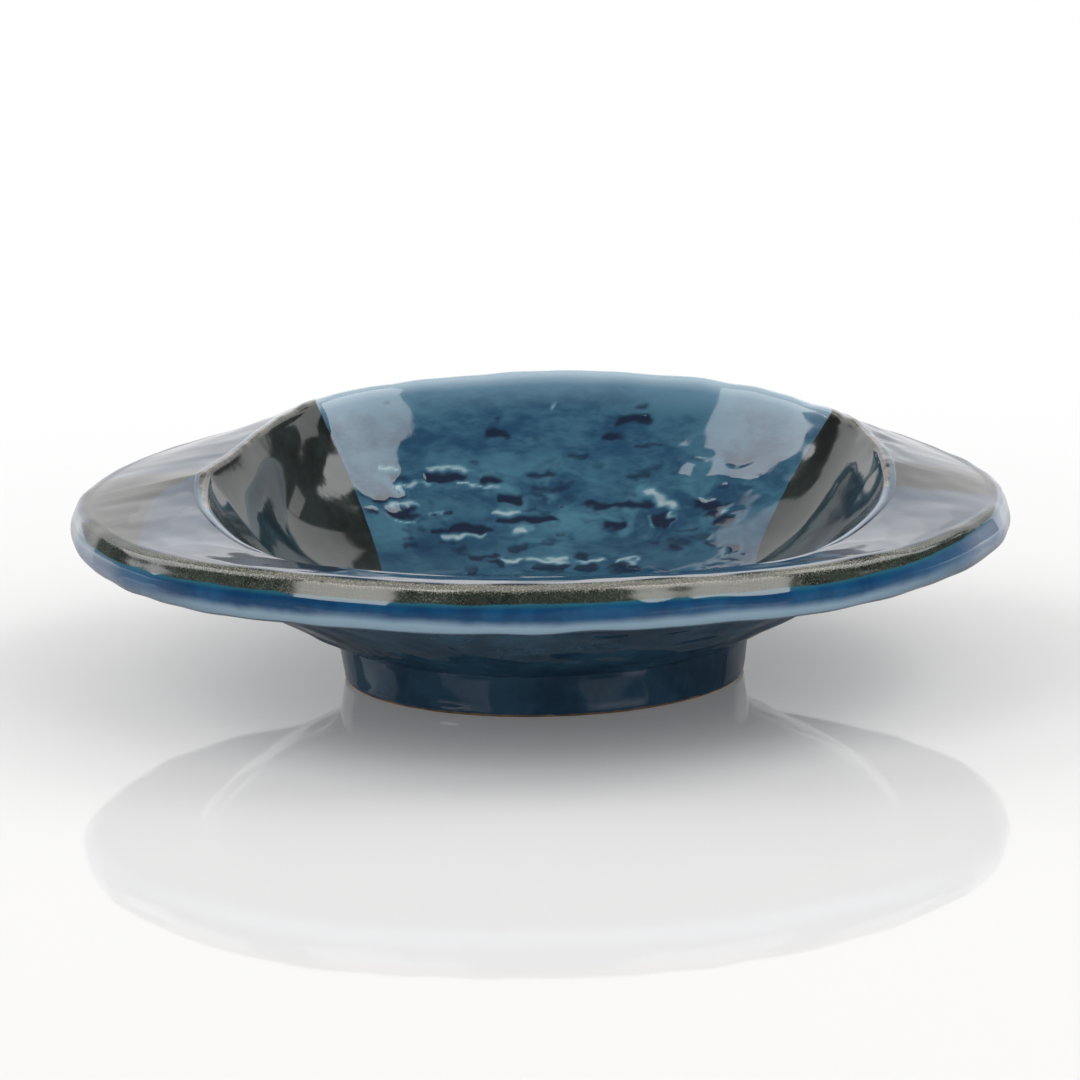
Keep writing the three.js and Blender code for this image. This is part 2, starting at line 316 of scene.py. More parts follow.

# %% [markdown]
# ## Marks in the well
#
# Before glazing, the wet clay of the well was dented with a tool, in short level strokes. The glaze pools dark in
# them, and a pale line lies on the clay that they push up: partly thin glaze, partly a painted highlight. The
# strokes that show most are on the far wall, so these are placed as they look from the front: in millimetres
# across and up in that view.
# A seeded scatter fills the rest of the well.

# %% Place the marks on the far wall
# Each mark: across, up, length, width, and how dark it is from 0 to 1
FAR_MARKS = [
    (-31.6, 54.0, 1.9, 1.0, 0.5),
    (-9.2, 47.4, 4.4, 2.1, 1.0),
    (-8.6, 50.2, 2.5, 1.1, 0.6),
    (-0.7, 46.5, 2.5, 1.6, 0.4),
    (21.0, 53.4, 3.2, 1.4, 0.6),
    (19.4, 50.6, 7.5, 2.1, 1.0),
    (15.2, 46.9, 2.8, 2.1, 1.0),
    (22.5, 44.9, 6.0, 0.9, 0.6),
    (7.4, 43.0, 3.8, 1.4, 0.6),
    (12.5, 40.2, 2.5, 1.8, 0.4),
    (20.6, 38.7, 3.2, 1.5, 0.6),
    (-0.1, 38.9, 6.6, 1.5, 0.7),
    (-19.3, 38.2, 9.5, 1.9, 1.0),
    (-10.2, 37.8, 4.7, 1.8, 0.9),
    (1.8, 35.9, 6.9, 1.1, 0.6),
    (-29.8, 37.8, 3.2, 1.3, 0.6),
    (-32.2, 33.6, 4.4, 1.6, 0.9),
    (-28.7, 34.5, 5.0, 0.9, 0.6),
    (-5.8, 33.9, 5.0, 2.1, 1.0),
    (-35.7, 31.0, 4.7, 1.6, 0.7),
    (-28.1, 31.0, 6.0, 2.1, 0.9),
    (-19.3, 30.7, 3.8, 1.3, 0.7),
    (-2.6, 29.5, 12.0, 1.6, 0.9),
    (-15.2, 27.5, 8.2, 1.9, 1.0),
    (-20.9, 27.0, 3.5, 1.6, 0.9),
    (15.6, 32.6, 15.0, 1.5, 0.8),
    (14.8, 28.4, 3.5, 1.8, 0.9),
    (23.8, 29.5, 3.8, 2.5, 1.0),
    (33.5, 32.7, 6.0, 2.1, 0.9),
    (34.2, 31.0, 2.5, 1.9, 0.9),
    (36.7, 29.5, 4.4, 1.8, 0.9),
    (-26.8, 26.0, 3.2, 1.0, 0.5),
    (-26.2, 24.4, 3.8, 1.4, 0.6),
    (4.3, 26.5, 3.8, 1.0, 0.5),
    (28.5, 27.5, 5.0, 0.9, 0.5),
    (-4.5, 23.8, 4.4, 1.8, 0.6),
    (22.8, 24.6, 2.5, 1.3, 0.6),
    (26.0, 24.3, 2.8, 1.5, 0.7),
    (33.9, 24.8, 3.2, 1.3, 0.6),
    (-11.8, 21.9, 6.9, 1.1, 0.7),
    (-16.2, 23.2, 1.9, 1.9, 0.6),
    (7.7, 22.4, 2.5, 1.5, 0.7),
    (37.9, 23.7, 3.8, 1.6, 0.9),
    (-8.6, 20.5, 2.2, 1.9, 0.9),
    (-14.0, 19.5, 3.2, 1.5, 0.9),
    (-7.0, 17.8, 5.3, 1.3, 0.8),
    (1.8, 19.9, 6.9, 1.6, 0.9),
    (9.0, 19.9, 4.1, 1.9, 0.9),
    (16.2, 19.7, 6.3, 1.9, 0.9),
    (32.0, 41.7, 3.8, 1.0, 0.4),
    (40.1, 41.4, 5.7, 1.9, 0.5),
]
# Each pale line, partly thin glaze and partly a painted highlight: across, up, length, width, and lean in degrees
PALE_LINES = [
    (-19.0, 40.0, 7.5, 1.1, 0),
    (-25.9, 36.6, 6.0, 0.8, 20),
    (-13.0, 36.4, 9.0, 0.6, -4),
    (-28.4, 32.7, 5.5, 0.9, -8),
    (-28.1, 29.4, 5.0, 0.6, 4),
    (-21.2, 30.7, 1.6, 1.3, 0),
    (-6.1, 31.2, 7.0, 0.9, 4),
    (-3.9, 27.3, 4.0, 1.3, 0),
    (-15.8, 26.0, 8.0, 0.7, 8),
    (21.6, 29.4, 2.6, 0.9, 80),
    (26.0, 30.0, 3.2, 1.0, 65),
    (24.3, 33.8, 6.0, 1.7, -48),
    (35.7, 30.8, 4.0, 0.9, 0),
    (3.0, 53.0, 1.0, 0.9, 0),
    (-1.0, 21.2, 12.0, 0.9, 0),
    (-29.7, 39.8, 3.5, 0.8, 0),
    (9.3, 21.3, 5.0, 0.9, 0),
    (16.5, 21.2, 4.0, 0.9, 0),
]
VIEW_DOWN, VIEW_LEAN = math.radians(11.5), 0.02
WALL_FORESHORTENING = 0.83
print(f"{len(FAR_MARKS)} marks and {len(PALE_LINES)} pale lines on the far wall")

# %% [markdown]
# A stroke is a rounded bar. Slow waves bend its outline, so that no two strokes are alike. The first function
# measures how far each point lies from the middle of a stroke, where 1 is its edge. The others add up strokes.

# %% Draw the marks
STROKE_FULLNESS = 0.72
STROKE_CORE, STROKE_EDGE, FAINT_EDGE, PALE_EDGE = 0.1, 1.45, 1.5, 1.8
inside = np.zeros((len(bowl), 1), bool)
inside[bowl_rows["wall"]] = inside[bowl_rows["floor"]] = True
far = inside & (bowl_y > 0)
seen_up = bowl_z * math.cos(VIEW_DOWN) + bowl_y * math.sin(VIEW_DOWN) + VIEW_LEAN * bowl_x
bend_along = 0.8 * waves(bowl, 5, seed=21) + 0.3 * waves(bowl, 2.6, seed=22)
bend_up = 0.45 * waves(bowl, 6, seed=23) + 0.22 * waves(bowl, 2.6, seed=24)


def stroke(along, up, length, width, lean):
    cosine, sine = math.cos(math.radians(lean)), math.sin(math.radians(lean))
    along, up = along + bend_along, up + bend_up
    along, up = cosine * along + sine * up, cosine * up - sine * along
    beyond = np.maximum(np.abs(along) - max(length - width, 0) / 2, 0)
    return np.hypot(beyond, up) / (STROKE_FULLNESS * width)


def far_stroke(across, up, length, width, lean):
    """The distance from a stroke on the far wall that is placed in the view from the front."""
    return stroke(bowl_x - across, (seen_up - up) / WALL_FORESHORTENING, length, width, lean)


def far_strokes():
    """Dark and pale strokes on the far wall."""
    dark, pale = np.zeros(bowl_x.shape), np.zeros(bowl_x.shape)
    for across, up, length, width, darkness in FAR_MARKS:
        distance = far_stroke(across, up, length, width, 0)
        dark = np.maximum(dark, darkness * (1 - ease(distance, STROKE_CORE, STROKE_EDGE)))
    for line in PALE_LINES:
        pale = np.maximum(pale, 1 - ease(far_stroke(*line), 0.0, PALE_EDGE))
    return dark * far, pale * far


def faint_strokes(count=110):
    """Small faint dents on the far wall, most of them low down."""
    random = np.random.default_rng(8)
    dark = np.zeros(bowl_x.shape)
    for _ in range(count):
        across, up = random.uniform(-40, 42), 15 + 27 * random.uniform() ** 1.5
        length, width, darkness = random.uniform(1.2, 4.5), random.uniform(0.8, 1.8), random.uniform(0.2, 0.55)
        distance = far_stroke(across, up, length, width, random.uniform(-8, 8))
        dark = np.maximum(dark, darkness * (1 - ease(distance, STROKE_CORE, FAINT_EDGE)))
    return dark * far


def scattered_strokes(count=80):
    """Strokes round the near half of the well, along its wall."""
    random = np.random.default_rng(5)
    run = np.zeros(bowl_x.shape)
    run[1:] = np.cumsum(np.linalg.norm(np.diff(bowl, axis=0), axis=-1), 0)
    radius, angle = np.hypot(bowl_x, bowl_y), np.arctan2(bowl_y, bowl_x)
    rows = np.flatnonzero(inside)
    dark = np.zeros(bowl_x.shape)
    for _ in range(count):
        bearing, height = random.uniform(150, 390), 13.6 + 22 * random.uniform() ** 1.6
        length, width, darkness = random.uniform(1.8, 8), random.uniform(1.2, 2.4), random.uniform(0.5, 1)
        column = np.argmax(np.cos(angle[0] - math.radians(bearing)))
        row = rows[np.argmin(np.abs(bowl_z[rows, column] - height))]
        turn = (angle - math.radians(bearing) + math.pi) % (2 * math.pi) - math.pi
        distance = stroke(radius * turn, run[row, column] - run, length, width, random.uniform(-14, 14))
        dark = np.maximum(dark, darkness * (1 - ease(distance, STROKE_CORE, STROKE_EDGE)))
    return dark * inside


deep, pale = far_strokes()
deep = np.maximum(np.maximum(deep, faint_strokes()), scattered_strokes())
plain = 1 - 0.9 * ease(patch, -1.5, 0.5)
deep, pale = deep * plain, pale * plain * (1 - deep)
print(f"{(deep > 0.5).mean():.1%} of the bowl's points lie deep in a mark")

# %% [markdown]
# ## Relief
#
# The marks, the soft swell of the thick glaze and the lumpy underside push each point along its normal.
# The swell matters most for the look: it bends the reflections of the lights into wavy patches. It is weaker in
# the dark patches, where the wall bulges softly at each side instead.

# %% Relief of the bowl
MARK_DEPTH, PALE_HEIGHT = 0.16, 0.07
LEVEL_STRETCH, SWELL_LOST = (0.45, 0.45, 1.5), 0.75
BULGE_HEIGHT, BULGE_TURN, BULGE_SPREAD, BULGE_REACH = 0.9, 5, 15, 27


def fade(rows, shape, stretch, margin=6):
    """1 inside a stretch of rows, and eased to 0 over the margin rows at its ends."""
    index = np.arange(shape[0])
    start, stop = rows[stretch].start, rows[stretch].stop
    return (ease(index, start, start + margin) * (1 - ease(index, stop - margin, stop)))[:, None]


wall_start = bowl_rows["wall"].start
well_part = ease(np.arange(len(bowl)), wall_start, wall_start + 10)[:, None]
well_swell = 0.05 * waves(bowl, 9, seed=31) + 0.16 * waves(bowl, 21, seed=32)
well_swell += 0.045 * waves(bowl * LEVEL_STRETCH, 9, seed=41)
well_swell *= 1 - SWELL_LOST * ease(patch, -3, 3)
bowl_push = well_part * well_swell - MARK_DEPTH * deep + PALE_HEIGHT * pale

from_side = np.degrees(np.arctan2(bowl_y, np.abs(bowl_x)))
below_crest = np.clip((bowl_z.max(0) - bowl_z) / BULGE_REACH, 0, 1)
bulge = BULGE_HEIGHT * well_part * np.exp(-(((from_side - BULGE_TURN) / BULGE_SPREAD) ** 2))
bowl_push += bulge * np.sin(math.pi * below_crest)

underside_lumps = 0.16 * waves(bowl, 11, seed=33) + 0.04 * waves(bowl, 5, seed=34)
bowl_push += fade(bowl_rows, bowl.shape, "underside") * underside_lumps
bowl = bowl + bowl_push[..., None] * outward(bowl, wrap=False)
print(f"relief from {bowl_push.min():.2f} to {bowl_push.max():.2f} mm in the bowl")

# %% [markdown]
# The flat of the shoulder swells less. Faint waves run out over it from the lip, and it is a little hollow at the
# front. Its edge carries a roll of thick glaze below the nose, with a shallow hollow above it.

# %% Relief of the shoulder and the foot
FRONT_HOLLOW, EDGE_LUMPS = 0.10, 0.14
EDGE_ROLL, EDGE_HOLLOW, EDGE_SPREAD = 0.35, 0.30, 0.22
index = np.arange(len(shoulder))[:, None]
bearing = np.arctan2(shoulder[..., 1], shoulder[..., 0])
ring = np.stack([RIM_RADIUS * np.cos(bearing), RIM_RADIUS * np.sin(bearing), 0 * bearing], -1)
flat_swell = 0.03 * waves(shoulder, 9, seed=35) + 0.06 * waves(shoulder, 26, seed=36)
flat_swell += 0.018 * waves(ring, 8, seed=42)
to_lip = np.clip((index - shoulder_rows["flat"].start) / FLAT_STEPS, 0, 1)
at_front = 1 - ease(np.abs(np.degrees(bearing) + 90), 50, 64)
flat_swell -= FRONT_HOLLOW * at_front * np.sin(math.pi * to_lip)

above_nose = (index - shoulder_rows["upper_edge"].start) / EDGE_STEPS
edge_swell = EDGE_LUMPS * waves(shoulder, 15, seed=37)
edge_swell = edge_swell + EDGE_ROLL * np.exp(-(((above_nose + 0.2) / EDGE_SPREAD) ** 2))
edge_swell -= EDGE_HOLLOW * np.exp(-(((above_nose - 0.3) / EDGE_SPREAD) ** 2))
edge_start, edge_stop = shoulder_rows["lower_edge"].start, shoulder_rows["upper_edge"].stop
on_edge = ease(index, edge_start, edge_start + 6) * (1 - ease(index, edge_stop - 6, edge_stop))
shoulder_push = fade(shoulder_rows, shoulder.shape, "flat") * flat_swell + on_edge * edge_swell
shoulder = shoulder + shoulder_push[..., None] * outward(shoulder, wrap=True)

foot_lumps = 0.12 * waves(foot, 16, seed=38) + 0.03 * waves(foot, 6, seed=39)
foot_push = fade(foot_rows, foot.shape, "outside", 4) * foot_lumps
foot = foot + foot_push[..., None] * outward(foot, wrap=True)
print(f"relief of at most {np.abs(shoulder_push).max():.2f} mm in the shoulder")

# %% [markdown]
# ## From grids to meshes
#
# A grid of points becomes a mesh of four-sided faces, closed round the axis. The bowl is closed at its two
# poles by fans of triangles, and the rings are closed along their outline. What the glaze needs to know of a
# point, such as how deep it lies in a mark, goes along as a named attribute that the shader can read.

# %% Build a mesh from a grid


def mesh_piece(name, points, wrap, attributes):
    rows, columns = points.shape[:2]
    grid = np.arange(rows * columns).reshape(rows, columns)
    upper = np.roll(grid, -1, 0) if wrap else grid[1:]
    lower = grid if wrap else grid[:-1]
    quads = np.stack([lower, np.roll(lower, -1, 1), np.roll(upper, -1, 1), upper], -1).reshape(-1, 4)
    vertices, faces = points.reshape(-1, 3), quads.tolist()
    if not wrap:
        first, last = len(vertices), len(vertices) + 1
        vertices = np.concatenate([vertices, [points[0].mean(0)], [points[-1].mean(0)]])
        faces += [(first, b, a) for a, b in zip(grid[0].tolist(), np.roll(grid[0], -1).tolist())]
        faces += [(last, a, b) for a, b in zip(grid[-1].tolist(), np.roll(grid[-1], -1).tolist())]
    mesh = bpy.data.meshes.new(name)
    mesh.from_pydata((vertices * MM).tolist(), [], faces)
    for attribute, values in attributes.items():
        full = np.zeros(len(vertices), np.float32)
        full[: rows * columns] = np.broadcast_to(values, (rows, columns)).reshape(-1)
        mesh.attributes.new(attribute, "FLOAT", "POINT").data.foreach_set("value", full)
    mesh.shade_smooth()
    mesh.update()
    piece = bpy.data.objects.new(name, mesh)
    bpy.context.scene.collection.objects.link(piece)
    print(f"{name}: {len(vertices)} points, {len(faces)} faces")
    return piece


# %% [markdown]
# ## Where each glaze and a painted dark reflection lie on the edge
#
# The ends of the shoulder carry a painted reflection of a dark band, and the front edge was dipped in the dark
# glaze. These borders
# too are kept as signed distances: along the shoulder, over its edge, and down from the crest of the lip.

# %% Distances along the lip and the edge
REFLECTION_OVERHANG, LEFT_REFLECTION_START, RIGHT_REFLECTION_START = 1.5, -74, 66
DIP_TOP, DIP_END, DIP_NARROWING, DIP_TAPER = 0.9, 5.5, 3.0, 4


def outline_run(points, row):
    """The mean way along the outline from one of its rows, in millimetres."""
    steps = np.linalg.norm(np.diff(points, axis=0), axis=-1).mean(1)
    run = np.concatenate([[0], np.cumsum(steps)])
    return (run - run[row])[:, None]


crest_row = bowl_rows["lip"].start + np.argmax(bowl[bowl_rows["lip"]][..., 2].mean(1))
from_crest = outline_run(bowl, crest_row)
ridge_row = shoulder_rows["flat"].start
over_edge = -outline_run(shoulder, ridge_row)

shoulder_x, shoulder_y = shoulder[..., 0], shoulder[..., 1]
# painted reflection of a dark band, over the ends of the shoulder from the lip's corners to the rim
left_end = LEFT_REFLECTION_START + 9 * np.exp(-(((shoulder_y - 3) / 8) ** 2)) - np.maximum(shoulder_y - 6, 0) * 1.2
left_dark_reflection = left_end - shoulder_x
past_start = shoulder_x - RIGHT_REFLECTION_START
right_dark_reflection = np.minimum(shoulder_y - (-15 + 0.25 * past_start), (0.75 * past_start - 2) - shoulder_y)
dark_reflection = np.where(shoulder_x < 0, left_dark_reflection, right_dark_reflection)
dark_reflection = np.minimum(dark_reflection, REFLECTION_OVERHANG - over_edge)

narrowing = DIP_NARROWING * ease(np.sin(bearing), -0.85, -0.25) * (np.cos(bearing) > 0)
over_edge = over_edge + narrowing * ease(over_edge, DIP_TOP, DIP_END - narrowing)
taper = DIP_TAPER * ease(np.sin(bearing), -0.34, -0.12)
dip = np.minimum(DIP_END - over_edge, over_edge - DIP_TOP) - taper
front = 1 - ease(np.sin(bearing), -0.95, -0.35) + 0.4 * ease(np.sin(bearing), 0.15, 0.5)
print(f"crest at row {crest_row}, ridge at row {ridge_row}, dip at most {dip.max():.1f} mm from its border")

# %% [markdown]
# Each fine mesh takes the place of one CAD node, which is hidden, and rides on the root body.

# %% Make the three pieces
glazed_bowl = mesh_piece(
    "glazed_well_bowl",
    bowl,
    False,
    {"deep": deep, "pale": pale, "patch": patch, "from_crest": from_crest},
)
glazed_shoulder = mesh_piece(
    "glazed_rim_shoulder",
    shoulder,
    True,
    {"dark_reflection": dark_reflection, "over_edge": over_edge, "dip": dip, "front": front},
)
glazed_foot = mesh_piece("glazed_foot_ring", foot, True, {})

for piece, node, slot in [
    (glazed_bowl, "well_bowl", "well_glaze"),
    (glazed_shoulder, "rim_shoulder", "shoulder_glaze"),
    (glazed_foot, "foot_ring", "foot_glaze"),
]:
    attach(piece, "root")
    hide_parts(node)

# %% [markdown]
# ## A few words for shader nodes
#
# Node trees are easier to read as code when each common step is one short call. These helpers place a node,
# set or link its inputs, and give back its output. The sockets they are given tell them which tree to use.

# %% Helpers for node trees


def put(tree, kind, inputs=None, **settings):
    node = tree.nodes.new(kind)
    for name, value in settings.items():
        setattr(node, name, value)
    for key, value in (inputs or {}).items():
        if isinstance(value, bpy.types.NodeSocket):
            tree.links.new(value, node.inputs[key])
        else:
            node.inputs[key].default_value = value
    return node


def calc(operation, first, second=0.0):
    tree = next(value.id_data for value in (first, second) if isinstance(value, bpy.types.NodeSocket))
    return put(tree, "ShaderNodeMath", {0: first, 1: second}, operation=operation).outputs[0]


def times(first, second):
    return calc("MULTIPLY", first, second)


def plus(first, second):
    return calc("ADD", first, second)


def minus(first, second):
    return calc("SUBTRACT", first, second)


def step(value, low, high, start=0.0, end=1.0):
    """Start below low, end above high, and a soft step between them."""
    inputs = {"Value": value, "From Min": low, "From Max": high, "To Min": start, "To Max": end}
    return put(value.id_data, "ShaderNodeMapRange", inputs, interpolation_type="SMOOTHSTEP").outputs[0]


def band(value, rise, fall):
    """1 between two soft steps, each given by its low and high end, and 0 outside them."""
    return times(step(value, *rise), step(value, *fall, 1.0, 0.0))


def coat(base, over, mask, share=1.0):
    """A colour laid over a base by a share of the mask."""
    factor = mask if share == 1.0 else times(mask, share)
    inputs = {0: factor, 6: base, 7: over}
    return put(mask.id_data, "ShaderNodeMix", inputs, data_type="RGBA").outputs[2]


def noise(where, scale, detail=2.0, rough=0.5, warp=0.0):
    inputs = {"Vector": where, "Scale": scale, "Detail": detail, "Roughness": rough, "Distortion": warp}
    return put(where.id_data, "ShaderNodeTexNoise", inputs).outputs["Fac"]


def point_value(tree, name):
    return put(tree, "ShaderNodeAttribute", attribute_name=name).outputs["Fac"]


def place(tree):
    """A point of the object, in metres."""
    return put(tree, "ShaderNodeTexCoord").outputs["Object"]


def split(vector):
    """The outputs X, Y and Z of a vector."""
    return put(vector.id_data, "ShaderNodeSeparateXYZ", {0: vector}).outputs


def group(name, inputs, outputs):
    """An empty node group with named sockets, and its input and output nodes."""
    tree = bpy.data.node_groups.new(name, "ShaderNodeTree")
    for label, kind, default in inputs:
        socket = tree.interface.new_socket(label, in_out="INPUT", socket_type=f"NodeSocket{kind}")
        socket.default_value = default
    for label, kind in outputs:
        tree.interface.new_socket(label, in_out="OUTPUT", socket_type=f"NodeSocket{kind}")
    return tree, tree.nodes.new("NodeGroupInput").outputs, tree.nodes.new("NodeGroupOutput").inputs


def use(tree, shared, inputs):
    """The outputs of a node group placed in a tree."""
    return put(tree, "ShaderNodeGroup", inputs, node_tree=shared).outputs


def colour(red, green, blue):
    """A colour as a painter reads it, from 0 to 255, as the linear colour that shaders need."""
    shares = [channel / 255 for channel in (red, green, blue)]
    linear = [s / 12.92 if s <= 0.04045 else ((s + 0.055) / 1.055) ** 2.4 for s in shares]
    return (*linear, 1.0)


print("a mid grey is", [round(c, 3) for c in colour(128, 128, 128)[:3]])

# %% [markdown]
# ## Shared finishes
#
# All three glazes drift in thickness, so their colour drifts too. All have a skin that is almost, but not
# quite, flat, with a few pinholes. All end at borders that are crisp but not ruled. Each of these is one
# node group, placed in every glaze with its own values.

# %% Node group: drifting glaze colour
SLOW_SHARE, QUICK_SHARE, QUICK_SCALE = 0.72, 0.28, 6.0
glaze_drift, given, made = group(
    "Glaze drift",
    [
        ("Thin", "Color", (1, 1, 1, 1)),
        ("Thick", "Color", (0, 0, 0, 1)),
        ("Scale", "Float", 40.0),
        ("Level streaks", "Float", 1.0),
    ],
    [("Color", "Color"), ("Thickness", "Float")],
)
stretch = put(glaze_drift, "ShaderNodeCombineXYZ", {"X": 1.0, "Y": 1.0, "Z": given["Level streaks"]})
factors = {0: place(glaze_drift), 1: stretch.outputs[0]}
where = put(glaze_drift, "ShaderNodeVectorMath", factors, operation="MULTIPLY").outputs[0]
slow = noise(where, given["Scale"], 3.0, 0.55, 0.4)
quick = noise(where, times(given["Scale"], QUICK_SCALE), 2.0, 0.6)
both = plus(times(slow, SLOW_SHARE), times(quick, QUICK_SHARE))
thickness = step(both, 0.36, 0.64)
glaze_drift.links.new(thickness, made["Thickness"])
glaze_drift.links.new(coat(given["Thin"], given["Thick"], thickness), made["Color"])


def drift(tree, thin, thick, scale, streaks=1.0):
    inputs = {"Thin": colour(*thin), "Thick": colour(*thick), "Scale": scale, "Level streaks": streaks}
    return use(tree, glaze_drift, inputs)


print("group:", glaze_drift.name)

# %% [markdown]
# A border comes in as a signed distance. Noise sways it a little, and a narrow step cuts it.

# %% Node group: crisp border
crisp_border, given, made = group(
    "Crisp border",
    [("Distance", "Float", 0.0), ("Wobble", "Float", 0.3), ("Softness", "Float", 0.1), ("Scale", "Float", 250.0)],
    [("Mask", "Float")],
)
sway = minus(noise(place(crisp_border), given["Scale"], 3.0), 0.5)
swayed = plus(given["Distance"], times(sway, given["Wobble"]))
soft_start = times(given["Softness"], -1.0)
crisp_border.links.new(step(swayed, soft_start, given["Softness"]), made["Mask"])


def border(distance, wobble, softness, scale=250.0):
    inputs = {"Distance": distance, "Wobble": wobble, "Softness": softness, "Scale": scale}
    return use(distance.id_data, crisp_border, inputs)["Mask"]


print("group:", crisp_border.name)

# %% [markdown]
# The skin is a faint ripple. Here and there a bubble has left a pinhole in it.

# %% Node group: glaze skin
RIPPLE_SCALE, PINHOLE_SCALE, PINHOLE_FIELD_SCALE = 260.0, 170.0, 55.0
glaze_skin, given, made = group(
    "Glaze skin",
    [("Ripple", "Float", 0.5), ("Pinholes", "Float", 0.5)],
    [("Height", "Float"), ("Pinhole", "Float")],
)
ripple = noise(place(glaze_skin), RIPPLE_SCALE, 2.0, 0.5)
cells = put(glaze_skin, "ShaderNodeTexVoronoi", {"Vector": place(glaze_skin), "Scale": PINHOLE_SCALE})
sparse = step(noise(place(glaze_skin), PINHOLE_FIELD_SCALE, 1.0), 0.60, 0.66)
dot = step(cells.outputs["Distance"], 0.05, 0.10, 1.0, 0.0)
pinhole = times(times(dot, sparse), given["Pinholes"])
height = minus(times(ripple, given["Ripple"]), pinhole)
glaze_skin.links.new(height, made["Height"])
glaze_skin.links.new(pinhole, made["Pinhole"])
print("group:", glaze_skin.name)

# %% [markdown]
# Speckle is fine noise, cut at a level: the larger the amount, the more grains pass it.

# %% Node group: speckle
speckle, given, made = group(
    "Speckle",
    [("Scale", "Float", 900.0), ("Amount", "Float", 0.5)],
    [("Mask", "Float")],
)
grain = noise(place(speckle), given["Scale"], 2.0, 0.65)
level = minus(0.75, times(given["Amount"], 0.5))
speckle.links.new(step(grain, level, plus(level, 0.10)), made["Mask"])
print("group:", speckle.name)

# %% [markdown]
# ## The glaze itself
#
# A stoneware glaze is a layer of glass over clay: its colour lies under a smooth, clear surface. The
# Principled shader gives this with a low roughness and the index of refraction of glass. The colour, a
# slightly varied roughness and a faint bump come from nodes.

# %% Start a glaze material
GLASS_INDEX = 1.56
PINHOLE_DARK = colour(40, 38, 34)
THIN_ROUGHNESS, THICK_ROUGHNESS = 0.08, 0.05


def glaze(name):
    material = bpy.data.materials.new(name)
    material.use_nodes = True
    tree = material.node_tree
    shader = tree.nodes["Principled BSDF"]
    shader.inputs["IOR"].default_value = GLASS_INDEX
    return material, tree, shader


def finish_glaze(tree, shader, base, roughness, ripple, pinholes):
    """Link a colour and a roughness to the shader, with pinholes and a faint ripple in the skin."""
    skin = use(tree, glaze_skin, {"Ripple": ripple, "Pinholes": pinholes})
    bump = put(tree, "ShaderNodeBump", {"Height": skin["Height"], "Strength": 0.10, "Distance": 0.0004})
    # pinholes are drawn darker
    pinholed_base = coat(base, PINHOLE_DARK, skin["Pinhole"])
    tree.links.new(pinholed_base, shader.inputs["Base Color"])
    tree.links.new(roughness, shader.inputs["Roughness"])
    tree.links.new(bump.outputs["Normal"], shader.inputs["Normal"])


print("index of refraction:", GLASS_INDEX)

# %% [markdown]
# ### The well
#
# A blue glaze that is paler where it is thin. It pools to navy in the marks, and runs off their raised edges,
# where the pale slip below shows through; a painted highlight with a soft halo lies along these edges too. A pale
# sheen and band at the far lip are a painted highlight. Dark patches of a green-black glaze lie over it at both
# sides.

# %% Blue of the well
LOW_BLUE, LIP_SHEEN_BLUE, LIP_HIGHLIGHT_WHITE = colour(30, 64, 90), colour(122, 158, 180), colour(182, 202, 214)
CLOUD_BLUE, HALO_AND_HIGHLIGHT_BLUE, PALE_SLIP_AND_HIGHLIGHT = colour(84, 134, 152), colour(104, 150, 168), colour(190, 204, 204)
POOLED_NAVY = colour(24, 38, 60)
well_glaze, tree, shader = glaze("blue well glaze")
deep_value, pale_value = point_value(tree, "deep"), point_value(tree, "pale")
down = point_value(tree, "from_crest")
far_side = step(split(place(tree))["Y"], 0.02, 0.05)
broken = step(noise(place(tree), 300.0, 3.0, 0.6), 0.34, 0.62)

blue = drift(tree, (64, 106, 128), (34, 70, 98), 55.0, streaks=2.6)
base = coat(blue["Color"], LOW_BLUE, step(down, 12.0, 45.0), 0.38)
# painted sheen that fades down from the far lip
near_lip = times(far_side, step(down, 1.0, 9.0, 1.0, 0.0))
base = coat(base, LIP_SHEEN_BLUE, near_lip, 0.7)
# painted highlight on the rounding of the far lip
lip_highlight = times(far_side, step(down, 0.8, 3.8, 1.0, 0.0))
base = coat(base, LIP_HIGHLIGHT_WHITE, lip_highlight, 0.9)
clouds = step(noise(place(tree), 95.0, 3.0, 0.55, 0.8), 0.45, 0.65)
cloud_band = times(step(down, 12.0, 22.0), far_side)
base = coat(base, CLOUD_BLUE, times(clouds, cloud_band), 0.55)
# halo and pale line along the raised edges of the marks: partly thin glaze over the pale slip, partly painted
# highlight
base = coat(base, HALO_AND_HIGHLIGHT_BLUE, step(pale_value, 0.0, 0.7), 0.55)
slip_and_highlight_line = times(step(pale_value, 0.55, 1.0), step(broken, 0.0, 1.0, 0.7, 1.0))
base = coat(base, PALE_SLIP_AND_HIGHLIGHT, slip_and_highlight_line, 0.6)
base = coat(base, POOLED_NAVY, step(deep_value, 0.04, 0.85))
print("nodes so far:", len(tree.nodes))

# %% [markdown]
# Outside its lip the bowl has the shoulder's blue, and another blue under the shoulder. The dark patches end
# at the crest of the lip, where they are worn down to the clay.

# %% Outside of the bowl, and the dark patches
WORN_CLAY = colour(122, 116, 107)
outer_blue = drift(tree, (42, 68, 94), (22, 42, 66), 40.0)
base = coat(base, outer_blue["Color"], step(down, -1.2, -0.4, 1.0, 0.0))
under_blue = drift(tree, (54, 90, 112), (32, 60, 82), 90.0)
base = coat(base, under_blue["Color"], step(down, -16.0, -14.0, 1.0, 0.0))

